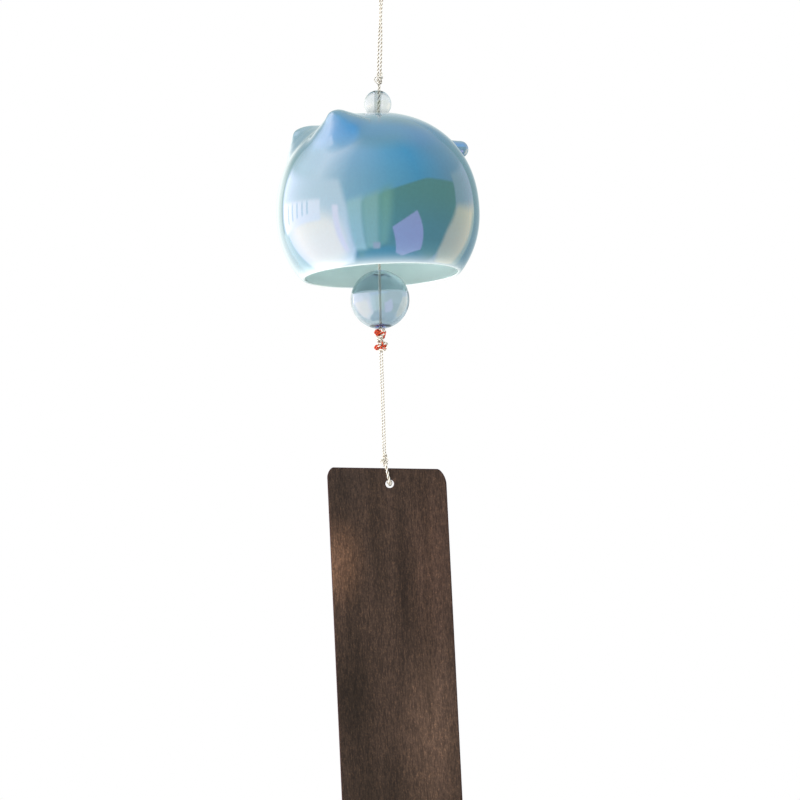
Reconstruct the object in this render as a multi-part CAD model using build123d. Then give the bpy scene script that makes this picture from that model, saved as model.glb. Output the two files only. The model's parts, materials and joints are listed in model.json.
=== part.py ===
from build123d import *
import os
from math import asin, cos, hypot, pi, radians, sin, sqrt, tan

# Furin wind bell: a ceramic bell with two cat ears and a stub tail, a glass clapper ball and a
# wooden wind slat, hung one below the other on knotted cord. Millimetres, +Z up, and the viewer
# looks along +Y. The origin is the centre of the hook's rod that the hanging loop bears on.
# A lean is in degrees from straight down, towards +X where it is positive.

# Gaps between pieces that touch or rub, and the overrun of a cut past a face
seat_gap = 0.15
thread_gap = 0.05
overrun = 1.0

# Hanging loop: a thin cord doubled, with an eye for a hook at the top
loop_cord_diameter = 0.8
loop_strand_spacing = 0.9
loop_drop = 42.0
loop_lean = -1.24
eye_half_width = 3.8
eye_throat_drop = 9.0
eye_widest_drop = 2.5
eye_top_rise = 3.2
eye_top_half_width = 2.6
bend_share = 0.45

# Knots, each an ovoid of this width and height
loop_knot_width = 2.4
loop_knot_height = 3.6
inner_knot_width = 3.6
inner_knot_height = 3.2
ball_knot_width = 3.6
ball_knot_height = 3.9
line_knot_width = 3.4
line_knot_height = 3.9
slat_knot_width = 2.8
slat_knot_height = 4.4
tie_thread_diameter = 0.6

# Stem: the cord through the crown, with a bead above it and a bead below it. The crown's hole
# lies this far below the loop's knot, and this far towards +X from it.
stem_cord_diameter = 1.5
stem_lean = -1.39
stem_hole_drop = 13.3
stem_hole_side = -0.54
bead_diameter = 9.5
bead_bore = 2.5
bead_flat_diameter = 3.6

# Bell: its outline is a superellipse above the belly and another one below it, and its wall thins
# from the belly to the lip
belly_radius = 35.0
crown_height = 34.6
crown_fullness = 2.18
skirt_height = 33.4
skirt_fullness = 2.08
mouth_drop = 21.4
wall = 2.2
lip_wall = 1.3
lip_round_share = 0.42
crown_hole_diameter = 4.0
crown_hole_offset = 1.65
crown_dish_radius = 5.0
crown_dish_depth = 0.5
bell_lean = 3.11
outline_points = 14

# Ears and tail, by their bearing from +X about the bell's axis, how far inside the belly's radius
# they lie and their drop from the crown. The near ear is the one towards the viewer. An ear narrows
# from a ball in the bell's shoulder and from a smaller one in its crown to its tip, and its front is
# flat.
face_bearing = 204.0
ear_spread = 35.0
ear_tip_inset = 7.7
near_ear_tip_drop = 4.7
far_ear_tip_drop = 3.85
ear_tip_radius = 2.7
ear_root_inset = 14.1
ear_root_drop = 12.1
ear_root_radius = 9.9
ear_ridge_inset = 21.7
ear_ridge_drop = 7.2
ear_ridge_radius = 4.5
ear_front_slope = 0.64
ear_front_offset = 1.75
tail_diameter = 6.0
tail_inset = 2.2
tail_root_inset = 17.0
tail_drop = 10.6

# Clapper: a hollow glass ball on a twisted cord
clapper_cord_diameter = 1.0
clapper_lean = 1.09
clapper_drop = 51.3
ball_diameter = 20.2
ball_wall = 0.9
ball_top_hole = 3.6
ball_lip_hole = 3.0
ball_lip_diameter = 5.4
ball_lip_depth = 0.9

# Slat line: two thin strands side by side
slat_strand_diameter = 0.6
slat_strand_spacing = 0.75
slat_line_lean = 1.86
slat_line_drop = 39.3

# Slat loop: over the slat's top edge and through its hole
slat_loop_diameter = 1.0
slat_loop_lean = 12.5
slat_loop_drop = 8.05
slat_loop_bend_share = 0.9

# Wind slat, by its own square frame at the hole
slat_width = 40.5
slat_length = 155.0
slat_thickness = 2.0
slat_lean = 2.78
slat_hole_diameter = 2.9
slat_hole_side = 0.9
slat_hole_depth = 5.35
slat_top_fall = 2.6
slat_corner_across = 2.3
slat_corner_along = 3.6
slat_right_corner_across = 3.0
slat_right_corner_along = 5.1
slat_corner_share = 0.45
slat_edge_round = 0.4


def below(point, lean, distance):
    """The point that far down a line with that lean."""
    x, z = point
    return x + distance * sin(radians(lean)), z - distance * cos(radians(lean))


def placed(shape, point, lean):
    """A piece modelled about its own upright axis, moved to its point and leaned."""
    x, z = point
    return Location((x, 0, z), (0, -lean, 0)) * shape


def tube_between(start, end, diameter):
    """A straight upright tube, from one height to another."""
    return Location((0, 0, min(start, end))) * Cylinder(
        diameter / 2, abs(end - start), align=(Align.CENTER, Align.CENTER, Align.MIN)
    )


def ovoid(width, height):
    """A knot's body: a ball stretched or flattened along the upright axis."""
    share = width / height
    return scale(Sphere(height / 2), by=(share, share, 1))


def ring(inner_diameter, thread_diameter):
    """A turn of thread round a knot's waist."""
    middle = inner_diameter / 2 + thread_gap + thread_diameter / 2
    return Torus(middle, thread_diameter / 2)


def report_tube(name, path, diameter, radii):
    """The bend radii of a cord's tube, and its volume against its section times its length."""
    section = pi * diameter ** 2 / 4
    print(name, "radii", [round(r, 2) for r in radii], "length", round(path.length, 2),
          "section times length", round(section * path.length, 2))


def swept(path, diameter):
    """A round tube along a path."""
    start = Plane(origin=path @ 0, z_dir=path % 0)
    return sweep(start * Circle(diameter / 2), path=path)


def corner_radii(points):
    """For each corner, a share of the shorter run divided by the tangent of half the turn."""
    runs = [Vector(*b) - Vector(*a) for a, b in zip(points, points[1:])]
    return [
        bend_share * min(a.length, b.length) / tan(radians(a.get_angle(b)) / 2)
        for a, b in zip(runs, runs[1:])
    ]


# The chain's points, worked out from the links above them
hook = (0, 0)
loop_knot_point = below(hook, loop_lean, loop_drop)
hole_rim_point = (
    loop_knot_point[0] + stem_hole_side,
    loop_knot_point[1] - stem_hole_drop,
)
hole_radius = crown_hole_diameter / 2
bead_radius = bead_diameter / 2
bead_half_height = sqrt(bead_radius ** 2 - (bead_flat_diameter / 2) ** 2)
bead_rise = (
    sqrt((bead_radius + seat_gap) ** 2 - hole_radius ** 2)
    + hole_radius * sin(radians(bell_lean))
)
top_bead_point = (hole_rim_point[0], hole_rim_point[1] + bead_rise)
crown_thickness = wall - crown_dish_depth
inner_rim_drop = crown_thickness * cos(radians(bell_lean))
inner_bead_point = (hole_rim_point[0], hole_rim_point[1] - inner_rim_drop - bead_rise)
stem_length = (
    (loop_knot_point[1] - inner_bead_point[1] + bead_half_height) / cos(radians(stem_lean))
    + seat_gap + inner_knot_height / 2
)
inner_knot_point = below(loop_knot_point, stem_lean, stem_length)
ball_point = below(inner_knot_point, clapper_lean, clapper_drop)
ball_radius = ball_diameter / 2
ball_half_height = sqrt(ball_radius ** 2 - (ball_lip_diameter / 2) ** 2)
ball_knot_drop = ball_half_height + seat_gap + ball_knot_height / 2
ball_knot_point = below(ball_point, clapper_lean, ball_knot_drop)
line_knot_drop = ball_knot_height / 2 + seat_gap + line_knot_height / 2
line_knot_point = below(ball_knot_point, clapper_lean, line_knot_drop)
slat_knot_point = below(line_knot_point, slat_line_lean, slat_line_drop)
slat_pivot_point = below(slat_knot_point, slat_loop_lean, slat_loop_drop)
slat_loop_side = slat_thickness / 2 + seat_gap + slat_loop_diameter / 2
slat_loop_bend = slat_loop_side * slat_loop_bend_share


def hanging_loop():
    """One cord from the knot up round the eye and back to the knot."""
    strand = loop_strand_spacing / 2
    low_end = -(loop_drop - loop_knot_height / 2 - seat_gap)
    half = [
        (-strand, 0, low_end),
        (-strand, 0, -eye_throat_drop),
        (-eye_half_width, 0, -eye_widest_drop),
        (-eye_top_half_width, 0, eye_top_rise),
    ]
    points = half + [(-x, y, z) for x, y, z in reversed(half)]
    radii = corner_radii(points)
    path = FilletPolyline(*points, radius=radii)
    report_tube("hanging_loop", path, loop_cord_diameter, radii)
    return placed(swept(path, loop_cord_diameter), hook, loop_lean)


def stem_cord():
    """The cord from under the upper knot, through both beads and the crown."""
    top = -(loop_knot_height / 2 + seat_gap)
    low = -(stem_length - inner_knot_height / 2 - seat_gap)
    return placed(tube_between(top, low, stem_cord_diameter), loop_knot_point, stem_lean)


def bead(point):
    """A round glass bead with a bore and a small flat at each end of it."""
    ball = Sphere(bead_radius) & Cylinder(bead_diameter, 2 * bead_half_height)
    ball -= Cylinder(bead_bore / 2, bead_diameter)
    return placed(ball, point, stem_lean)


def superellipse(radius, fullness, share):
    """The radius at that share of the height from the belly."""
    return radius * (1 - share ** fullness) ** (1 / fullness)


def cavity_skirt_height():
    """The inner face's skirt height, with which it is the lip's wall inside the outer one's mouth."""
    outer = superellipse(belly_radius, skirt_fullness, mouth_drop / skirt_height)
    share = (outer - lip_wall) / (belly_radius - wall)
    return mouth_drop / superellipse(1, skirt_fullness, share)


def lip_rounding():
    """The lip's rounding: a share of its wall, and less where the wall leans in more."""
    share = mouth_drop / skirt_height
    steepness = share / superellipse(1, skirt_fullness, share)
    lean_in = belly_radius / skirt_height * steepness ** (skirt_fullness - 1)
    return lip_wall * lip_round_share / hypot(1, lean_in)


def bell_outline(radius, crown, skirt):
    """Half of an outline from the crown to the mouth, and its radius there."""
    upper = []
    for step in range(outline_points):
        share = cos(radians(90 * step / outline_points))
        upper.append((superellipse(radius, crown_fullness, share), crown * share))
    lower = []
    for step in range(1, outline_points // 2 + 1):
        depth = mouth_drop * step / (outline_points // 2)
        lower.append((superellipse(radius, skirt_fullness, depth / skirt), -depth))
    curve = Spline(*upper, (radius, 0), *lower, tangents=[(1, 0), lip_direction(lower)])
    return curve, lower[-1][0]


def lip_direction(lower):
    """The outline's direction at the mouth, from its last two points."""
    (x_before, z_before), (x_last, z_last) = lower[-2:]
    run = hypot(x_last - x_before, z_last - z_before)
    return (x_last - x_before) / run, (z_last - z_before) / run


def bell_core(radius, crown, skirt, extra):
    """The solid inside an outline, run on past the mouth by extra."""
    curve, mouth_radius = bell_outline(radius, crown, skirt)
    low = -mouth_drop - extra
    lines = [curve]
    if extra:
        lines.append(Line((mouth_radius, -mouth_drop), (mouth_radius, low)))
    lines.append(Line((mouth_radius, low), (0, low)))
    lines.append(Line((0, low), (0, crown)))
    return revolve(Plane.XZ * make_face(lines), Axis.Z)


def tapered(start, start_radius, end, end_radius):
    """A ball at each end and the cone that touches both of them."""
    axis = end - start
    half_angle = asin((start_radius - end_radius) / axis.length)
    height = axis.length - (start_radius - end_radius) * sin(half_angle)
    cone = Cone(
        start_radius * cos(half_angle), end_radius * cos(half_angle), height,
        align=(Align.CENTER, Align.CENTER, Align.MIN),
    )
    low = start + axis.normalized() * (start_radius * sin(half_angle))
    shape = Plane(origin=low, z_dir=axis) * cone
    return shape + Pos(*start) * Sphere(start_radius) + Pos(*end) * Sphere(end_radius)


def ear(side, tip_drop):
    """A round-tipped ear with a ridge to the crown and a flat front; side is +1 for the near one."""
    tip = Vector(belly_radius - ear_tip_inset, 0, crown_height - tip_drop)
    root = Vector(belly_radius - ear_root_inset, 0, crown_height - ear_root_drop)
    ridge = Vector(belly_radius - ear_ridge_inset, 0, crown_height - ear_ridge_drop)
    shape = tapered(root, ear_root_radius, tip, ear_tip_radius)
    shape += tapered(ridge, ear_ridge_radius, tip, ear_tip_radius)
    turn = radians(side * ear_spread)
    front = Vector(cos(turn), -sin(turn), ear_front_slope).normalized()
    cut = Plane(origin=tip + front * ear_front_offset, z_dir=front)
    shape = split(shape, bisect_by=cut, keep=Keep.BOTTOM)
    return Rot(0, 0, face_bearing + side * ear_spread) * shape


def tail():
    """A short round stub that points away from the face."""
    height = crown_height - tail_drop
    reach = belly_radius - tail_inset
    root_reach = belly_radius - tail_root_inset
    stub = Cylinder(
        tail_diameter / 2, reach - root_reach, align=(Align.CENTER, Align.CENTER, Align.MIN)
    )
    root = Plane(origin=(root_reach, 0, height), z_dir=(1, 0, 0))
    end = Pos(reach, 0, height) * Sphere(tail_diameter / 2)
    return Rot(0, 0, face_bearing - 180) * (root * stub + end)


def bell():
    """The bell about its own axis, with the belly's centre at height zero, then hung by its hole."""
    shape = bell_core(belly_radius, crown_height, skirt_height, 0)
    cavity = bell_core(
        belly_radius - wall, crown_height - wall, cavity_skirt_height(), overrun
    )
    shape += ear(1, near_ear_tip_drop)
    shape += ear(-1, far_ear_tip_drop)
    shape += tail()
    shape -= cavity
    dish_ball = (crown_dish_radius ** 2 + crown_dish_depth ** 2) / (2 * crown_dish_depth)
    dish_centre = crown_height - crown_dish_depth + dish_ball
    shape -= Pos(crown_hole_offset, 0, dish_centre) * Sphere(dish_ball)
    shape -= Pos(crown_hole_offset, 0, crown_height) * Cylinder(hole_radius, 2 * (wall + overrun))
    lip = shape.edges().filter_by(GeomType.CIRCLE).group_by(Axis.Z)[0]
    shape = fillet(lip, lip_rounding())
    rim = Pos(-crown_hole_offset, 0, -(crown_height - crown_dish_depth)) * shape
    return placed(rim, hole_rim_point, bell_lean)


def clapper_line():
    """The cord from the inner knot through the ball to the ball's knot."""
    top = -(inner_knot_height / 2 + seat_gap)
    low = -(clapper_drop + ball_knot_drop - ball_knot_height / 2 - seat_gap)
    return placed(tube_between(top, low, clapper_cord_diameter), inner_knot_point, clapper_lean)


def clapper_ball():
    """A blown ball with a small hole at the top and a thickened lip round the lower hole."""
    shape = Sphere(ball_radius) - Sphere(ball_radius - ball_wall)
    lip_top = -ball_half_height + ball_lip_depth + ball_wall
    lip_height = lip_top + ball_radius
    lip = Pos(0, 0, -ball_radius) * Cylinder(
        ball_lip_diameter / 2, lip_height, align=(Align.CENTER, Align.CENTER, Align.MIN)
    )
    shape += lip & Sphere(ball_radius)
    flat = Pos(0, 0, -ball_half_height - ball_radius) * Cylinder(ball_radius, 2 * ball_radius)
    shape -= flat
    shape -= Pos(0, 0, ball_radius) * Cylinder(ball_top_hole / 2, ball_radius)
    shape -= Pos(0, 0, -ball_radius) * Cylinder(ball_lip_hole / 2, ball_radius)
    return placed(shape, ball_point, clapper_lean)


def slat_line():
    """Two strands from the cluster's lower knot to the slat's knot."""
    top = -(line_knot_height / 2 + seat_gap)
    low = -(slat_line_drop - slat_knot_height / 2 - seat_gap)
    strand = tube_between(top, low, slat_strand_diameter)
    pair = [Pos(side * slat_strand_spacing / 2) * strand for side in (-1, 1)]
    return placed(Compound(children=pair), line_knot_point, slat_line_lean)


def slat_loop():
    """A U of cord through the slat's hole, up both faces to the flanks of the knot."""
    side = slat_loop_side
    knot_half_width = slat_knot_width / 2
    beside = (side - slat_loop_diameter / 2 - seat_gap) / knot_half_width
    flank_drop = slat_knot_height / 2 * sqrt(1 - beside ** 2)
    top = slat_loop_drop - flank_drop
    points = [(0, -side, top), (0, -side, 0), (0, side, 0), (0, side, top)]
    path = FilletPolyline(*points, radius=slat_loop_bend)
    report_tube("slat_loop", path, slat_loop_diameter, [slat_loop_bend])
    return placed(swept(path, slat_loop_diameter), slat_pivot_point, slat_loop_lean)


def slat_loop_hang():
    """How far the loop's cord lies below the top of the hole, so that its bend clears the edge."""
    bend_side = slat_loop_side - slat_loop_bend
    inside = slat_loop_bend - slat_loop_diameter / 2 - thread_gap
    return slat_loop_bend - sqrt(inside ** 2 - (slat_thickness / 2 - bend_side) ** 2)


def rounded_outline(corners):
    """A closed outline; each corner comes with how far its curve starts before and ends after it."""
    curves = []
    for index, (point, before, after) in enumerate(corners):
        corner = Vector(*point)
        came_from = Vector(*corners[index - 1][0])
        goes_to = Vector(*corners[(index + 1) % len(corners)][0])
        start = corner + (came_from - corner).normalized() * before
        end = corner + (goes_to - corner).normalized() * after
        lean_in = start + (corner - start) * slat_corner_share
        lean_out = end + (corner - end) * slat_corner_share
        curves.append((start, lean_in, lean_out, end))
    lines = []
    for index, curve in enumerate(curves):
        lines.append(Line(curves[index - 1][-1], curve[0]))
        lines.append(Bezier(*curve))
    return lines


def wind_slat():
    """A thin board with round corners, a top that isn't quite square, and a hole near it."""
    hole_centre = slat_loop_hang() - slat_hole_diameter / 2
    left = -slat_hole_side - slat_width / 2
    right = -slat_hole_side + slat_width / 2
    top = hole_centre + slat_hole_depth
    low = top - slat_length
    corners = [
        ((left, low), slat_corner_along, slat_corner_across),
        ((right, low), slat_corner_across, slat_corner_along),
        ((right, top - slat_top_fall / 2), slat_right_corner_along, slat_right_corner_across),
        ((left, top + slat_top_fall / 2), slat_corner_across, slat_corner_along),
    ]
    face = make_face(rounded_outline(corners))
    board = extrude(Plane.XZ * face, amount=slat_thickness / 2, both=True)
    hole = Rot(90, 0, 0) * Cylinder(slat_hole_diameter / 2, slat_thickness + 2 * overrun)
    board -= Pos(0, 0, hole_centre) * hole
    board = fillet(board.faces().filter_by(Axis.Y).edges(), slat_edge_round)
    return placed(board, slat_pivot_point, slat_lean)


parts = {
    "hanging_loop": hanging_loop(),
    "loop_knot": placed(ovoid(loop_knot_width, loop_knot_height), loop_knot_point, stem_lean),
    "stem_cord": stem_cord(),
    "top_bead": bead(top_bead_point),
    "bell": bell(),
    "inner_bead": bead(inner_bead_point),
    "inner_knot": placed(
        ovoid(inner_knot_width, inner_knot_height), inner_knot_point, clapper_lean
    ),
    "clapper_line": clapper_line(),
    "clapper_ball": clapper_ball(),
    "ball_knot": placed(ovoid(ball_knot_width, ball_knot_height), ball_knot_point, clapper_lean),
    "ball_tie": placed(
        ring(ball_knot_width, tie_thread_diameter), ball_knot_point, clapper_lean
    ),
    "line_knot": placed(
        ovoid(line_knot_width, line_knot_height), line_knot_point, slat_line_lean
    ),
    "line_tie": placed(
        ring(line_knot_width, tie_thread_diameter), line_knot_point, slat_line_lean
    ),
    "slat_line": slat_line(),
    "slat_knot": placed(ovoid(slat_knot_width, slat_knot_height), slat_knot_point, slat_loop_lean),
    "slat_loop": slat_loop(),
    "wind_slat": wind_slat(),
}

os.makedirs("parts", exist_ok=True)
for name, shape in parts.items():
    export_step(shape, f"parts/{name}.step")

for name, point in {
    "loop_knot": loop_knot_point,
    "crown hole": hole_rim_point,
    "inner_knot": inner_knot_point,
    "ball": ball_point,
    "line_knot": line_knot_point,
    "slat_knot": slat_knot_point,
    "slat pivot": slat_pivot_point,
}.items():
    print(name, "at", round(point[0], 3), round(point[1], 3))
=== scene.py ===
import json
from math import acos, atan2, cos, degrees, exp, hypot, pi, radians, sin

import bpy
import numpy as np
from mathutils import Matrix, Vector


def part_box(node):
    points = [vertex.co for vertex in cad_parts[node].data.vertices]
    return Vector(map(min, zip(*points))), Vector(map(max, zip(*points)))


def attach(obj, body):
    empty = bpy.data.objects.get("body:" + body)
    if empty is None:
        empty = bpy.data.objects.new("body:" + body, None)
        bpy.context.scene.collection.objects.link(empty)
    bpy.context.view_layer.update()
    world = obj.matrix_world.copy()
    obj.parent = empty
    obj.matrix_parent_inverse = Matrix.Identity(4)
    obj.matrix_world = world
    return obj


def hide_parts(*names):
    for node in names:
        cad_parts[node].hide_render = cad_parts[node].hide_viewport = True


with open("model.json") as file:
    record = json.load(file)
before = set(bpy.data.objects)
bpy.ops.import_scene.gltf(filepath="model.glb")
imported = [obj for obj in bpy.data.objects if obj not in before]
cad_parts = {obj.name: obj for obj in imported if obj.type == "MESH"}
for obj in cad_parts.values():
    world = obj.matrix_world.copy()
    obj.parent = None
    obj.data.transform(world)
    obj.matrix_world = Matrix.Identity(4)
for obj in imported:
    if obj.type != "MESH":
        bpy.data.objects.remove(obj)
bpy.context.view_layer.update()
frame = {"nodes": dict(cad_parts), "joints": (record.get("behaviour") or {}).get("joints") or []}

# Everything is in metres and in the frame of the CAD model: +Z up, and the viewer looks along +Y.
# Places come from the frame where it has them, and a lean is in degrees from straight down.

# Camera: it looks up at the bell a little, from the photograph's place
camera_place = (0.0063, -0.749, -0.22584)
camera_pitch = 5.5
camera_lens = 99.0
camera_sensor = 36.0
camera_range = (0.01, 50.0)

# Hanging loop, with drops below the middle of its eye
loop_cord_diameter = 0.0008
loop_length = 0.0914
loop_lean = -1.24
loop_drop = 0.042
loop_knot_height = 0.0036
loop_strand_spacing = 0.0009
loop_wide_drop = 0.029
loop_wide_spacing = 0.0012
loop_crossing_drop = 0.0175
loop_crossing_depth = 0.0004
loop_throat_spacing = 0.002
eye_throat_drop = 0.009
eye_widest_drop = 0.0025
eye_half_width = 0.0038
eye_top_rise = 0.0032
eye_top_half_width = 0.0026

# Other cords
stem_cord_diameter = 0.0011
stem_lean = -1.39
clapper_cord_diameter = 0.001
clapper_length = 0.0594
slat_strand_diameter = 0.0006
slat_strand_spacing = 0.00075
slat_line_length = 0.0349
slat_loop_diameter = 0.001
seat_gap = 0.00015

# Plies: shares are of the cord's diameter, and the radius is by how many plies twist together
ply_sides = 10
ply_point_share = 0.3
ply_turn_share = 3.4
ply_radius_shares = {2: 0.27, 3: 0.21}
uv_row_length = 0.25
spline_steps = 24
off_line_direction = (0.3, 1.0, 0.2)

# Bell, in its own frame, with the belly's centre at the origin
belly_radius = 0.035
crown_height = 0.0346
crown_fullness = 2.18
skirt_height = 0.0334
skirt_fullness = 2.08
mouth_drop = 0.0214
wall = 0.0022
lip_wall = 0.0013
lip_start_share = 0.45
edge_roundness = 0.62
crown_hole_radius = 0.002
crown_hole_rounding = 0.0003
crown_hole_offset = 0.00165
crown_hole_centred_to = 75.0
crown_dish_radius = 0.005
crown_dish_depth = 0.0005
crown_dish_power = 1.5
bell_lean = 3.11
meridians = 320
outer_rows = 170
inner_rows = 60
lip_rows = 10
crown_hole_rows = 8
lip_paleness_rows = 7.0
search_from_share = 0.97
search_to = 0.05
search_steps = 34

# Ears
face_bearing = 204.0
ear_spread = 35.0
ear_tip_reach = 0.0273
ear_tip_drops = {1: 0.0047, -1: 0.00385}
ear_tip_radius = 0.0027
ear_root_reach = 0.0209
ear_root_drop = 0.0121
ear_root_radius = 0.0099
ear_ridge_reach = 0.0133
ear_ridge_drop = 0.0072
ear_ridge_radius = 0.0045
ear_ridge_blend = 0.002
ear_front_slope = 0.64
ear_front_offset = 0.00175
ear_front_blend = 0.005
ear_blend = 0.0033

# Tail
tail_radius = 0.003
tail_reach = 0.0328
tail_root_reach = 0.018
tail_drop = 0.0106
tail_sunk = 0.003
tail_flare = 0.0016
tail_flare_length = 0.0011
tail_paleness = 0.14
tail_sides = 64
tail_rows = 24

# Glass
bead_radius = 0.00475
bead_bore_radius = 0.00125
bead_flat_radius = 0.0018
bead_edge_radius = 0.0002
ball_radius = 0.0101
ball_wall = 0.0009
ball_top_hole_radius = 0.0018
ball_lip_hole_radius = 0.0015
ball_lip_radius = 0.0027
ball_lip_inset = 0.0006
ball_lip_rise = 0.0003
# The ball's painted rim shade fades out by this radius from its axis
ball_rim_radius = 0.0029
glass_sides = 128

# Knots: diameters of the cord and thread that their turns are made of
millimetre = 0.001
knot_turn_points = 72
red_thread_diameter = 0.00075
mixed_thread_diameter = 0.0007
bight_diameter = 0.00045
hole_thread_diameter = 0.00055
loose_end_diameter = 0.00045

# Slat: its grain leans with it
slat_lean = 2.78

joints = {joint["name"]: joint for joint in frame["joints"]}


def centre_of(node):
    """The middle of a CAD node's box."""
    low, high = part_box(node)
    return (low + high) / 2


def place_of(joint):
    return Vector(joints[joint]["pos_m"])


def axis_of(joint):
    return Vector(joints[joint]["axis"]).normalized()


def leaned(lean):
    """The turn that takes an upright piece to that lean."""
    return Matrix.Rotation(radians(-lean), 3, "Y")


def unit(vectors):
    return vectors / np.linalg.norm(vectors, axis=-1, keepdims=True)


def circle(sides):
    """Even angles once round a circle."""
    return [2 * pi * side / sides for side in range(sides)]


def new_object(name, data):
    item = bpy.data.objects.new(name, data)
    bpy.context.scene.collection.objects.link(item)
    return item


def mesh_from(name, points, faces):
    """A smooth-shaded mesh."""
    mesh = bpy.data.meshes.new(name)
    mesh.from_pydata([tuple(point) for point in points], [], faces)
    mesh.update()
    mesh.polygons.foreach_set("use_smooth", [True] * len(mesh.polygons))
    return mesh


def write_attribute(mesh, name, values):
    """Keeps one number at each point, for a material to read."""
    layer = mesh.attributes.new(name, "FLOAT", "POINT")
    layer.data.foreach_set("value", np.array(values, np.float32))


def new_piece(name, mesh, body, slot, node, *materials):
    """A piece that rides on a body, with the given materials, and stands for a CAD node, which it hides;
    the slot is not used.
    """
    for material in materials:
        mesh.materials.append(material)
    piece = new_object(name, mesh)
    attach(piece, body)
    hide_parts(node)
    return piece


# Upward directions of the hanging cords, and the point that the clapper swings about
stem_axis = leaned(stem_lean) @ Vector((0, 0, 1))
hang_axis = axis_of("clapper_turn")
line_axis = axis_of("line_turn")
hang_pivot = place_of("clapper_swing")

camera_data = bpy.data.cameras.new("camera")
camera_data.lens = camera_lens
camera_data.sensor_width = camera_sensor
camera_data.clip_start, camera_data.clip_end = camera_range
camera = new_object("camera", camera_data)
camera.location = camera_place
camera.rotation_euler = (radians(90 + camera_pitch), 0, 0)
bpy.context.scene.camera = camera


# Materials

class Tree:
    """A node tree. Its methods add a node and return what the node gives; a source that they take
    is another node's socket or a plain value."""

    def __init__(self, node_tree):
        self.nodes = node_tree.nodes
        self.links = node_tree.links

    def add(self, kind, **settings):
        node = self.nodes.new("ShaderNode" + kind)
        for key, value in settings.items():
            setattr(node, key, value)
        return node

    def feed(self, socket, source):
        """Links or sets a socket; a colour is three numbers, without its alpha."""
        if isinstance(source, bpy.types.NodeSocket):
            self.links.new(source, socket)
        elif socket.type == "RGBA" and isinstance(source, tuple):
            socket.default_value = (*source, 1.0)
        else:
            socket.default_value = source

    def fill(self, node, **sources):
        """Feeds a node's inputs by their names, with _ for each space."""
        for name, source in sources.items():
            self.feed(node.inputs[name.replace("_", " ")], source)

    def attribute(self, name):
        return self.add("Attribute", attribute_name=name).outputs["Fac"]

    def coordinates(self, kind):
        return self.add("TexCoord").outputs[kind]

    def mapped(self, vector, **sources):
        node = self.add("Mapping")
        self.fill(node, Vector=vector, **sources)
        return node.outputs["Vector"]

    def parts(self, vector):
        node = self.add("SeparateXYZ")
        self.fill(node, Vector=vector)
        return node.outputs

    def length(self, vector):
        node = self.add("VectorMath", operation="LENGTH")
        self.feed(node.inputs[0], vector)
        return node.outputs["Value"]

    def noise(self, vector, scale, detail, roughness=0.5):
        node = self.add("TexNoise")
        self.fill(node, Vector=vector, Scale=scale, Detail=detail, Roughness=roughness)
        return node.outputs["Fac"]

    def ramp(self, factor, stops, interpolation="EASE"):
        """A colour ramp through (place, colour) stops."""
        node = self.add("ValToRGB")
        node.color_ramp.interpolation = interpolation
        elements = node.color_ramp.elements
        while len(elements) < len(stops):
            elements.new(1.0)
        for element, (place, colour) in zip(elements, stops):
            element.position = place
            element.color = (*colour, 1.0)
        self.fill(node, Fac=factor)
        return node.outputs["Color"]

    def mixed(self, factor, first, second, blend="MIX"):
        """A mix of two colours, which are the node's inputs 6 and 7."""
        node = self.add("Mix", data_type="RGBA", blend_type=blend)
        for index, source in ((0, factor), (6, first), (7, second)):
            self.feed(node.inputs[index], source)
        return node.outputs[2]

    def mixed_shaders(self, factor, first, second):
        node = self.add("MixShader")
        for socket, source in zip(node.inputs, (factor, first, second)):
            self.feed(socket, source)
        return node.outputs["Shader"]

    def maths(self, operation, *sources, clamp=False):
        node = self.add("Math", operation=operation, use_clamp=clamp)
        for socket, source in zip(node.inputs, sources):
            self.feed(socket, source)
        return node.outputs[0]

    def smooth_step(self, value, low, high):
        """0 below low and 1 above high; with low above high, the other way round."""
        node = self.add("MapRange", interpolation_type="SMOOTHSTEP")
        self.fill(node, Value=value, From_Min=low, From_Max=high, To_Min=0.0, To_Max=1.0)
        return node.outputs["Result"]

    def bump(self, height, strength, distance):
        node = self.add("Bump")
        self.fill(node, Height=height, Strength=strength, Distance=distance)
        return node.outputs["Normal"]


def new_material(name):
    """A material, its tree, and its shader and output nodes."""
    material = bpy.data.materials.new(name)
    material.use_nodes = True
    tree = Tree(material.node_tree)
    return material, tree, tree.nodes["Principled BSDF"], tree.nodes["Material Output"]


def cord_material(name, light, groove_shade):
    """Twisted thread, with painted shade that darkens it in the grooves between its plies, and fine
    fibres along them.
    """
    material, tree, shader, _ = new_material(name)
    along = tree.mapped(tree.add("UVMap").outputs["UV"], Scale=(1.0, 0.35, 1.0), Rotation=(0, 0, 0.5))
    fibres = tree.noise(along, 9.0, 3.0, 0.6)
    uneven = tree.maths("MULTIPLY_ADD", fibres, 0.5, -0.25)
    level = tree.maths("ADD", uneven, tree.attribute("ply_reach"))
    # Painted shade: the colour darkens towards the cord's middle, where the plies meet in grooves.
    tree.fill(
        shader, Base_Color=tree.ramp(level, [(0.62, groove_shade), (0.94, light)]),
        Normal=tree.bump(fibres, 0.6, 0.00008), Roughness=0.6, Specular_IOR_Level=0.3,
    )
    return material


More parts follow.
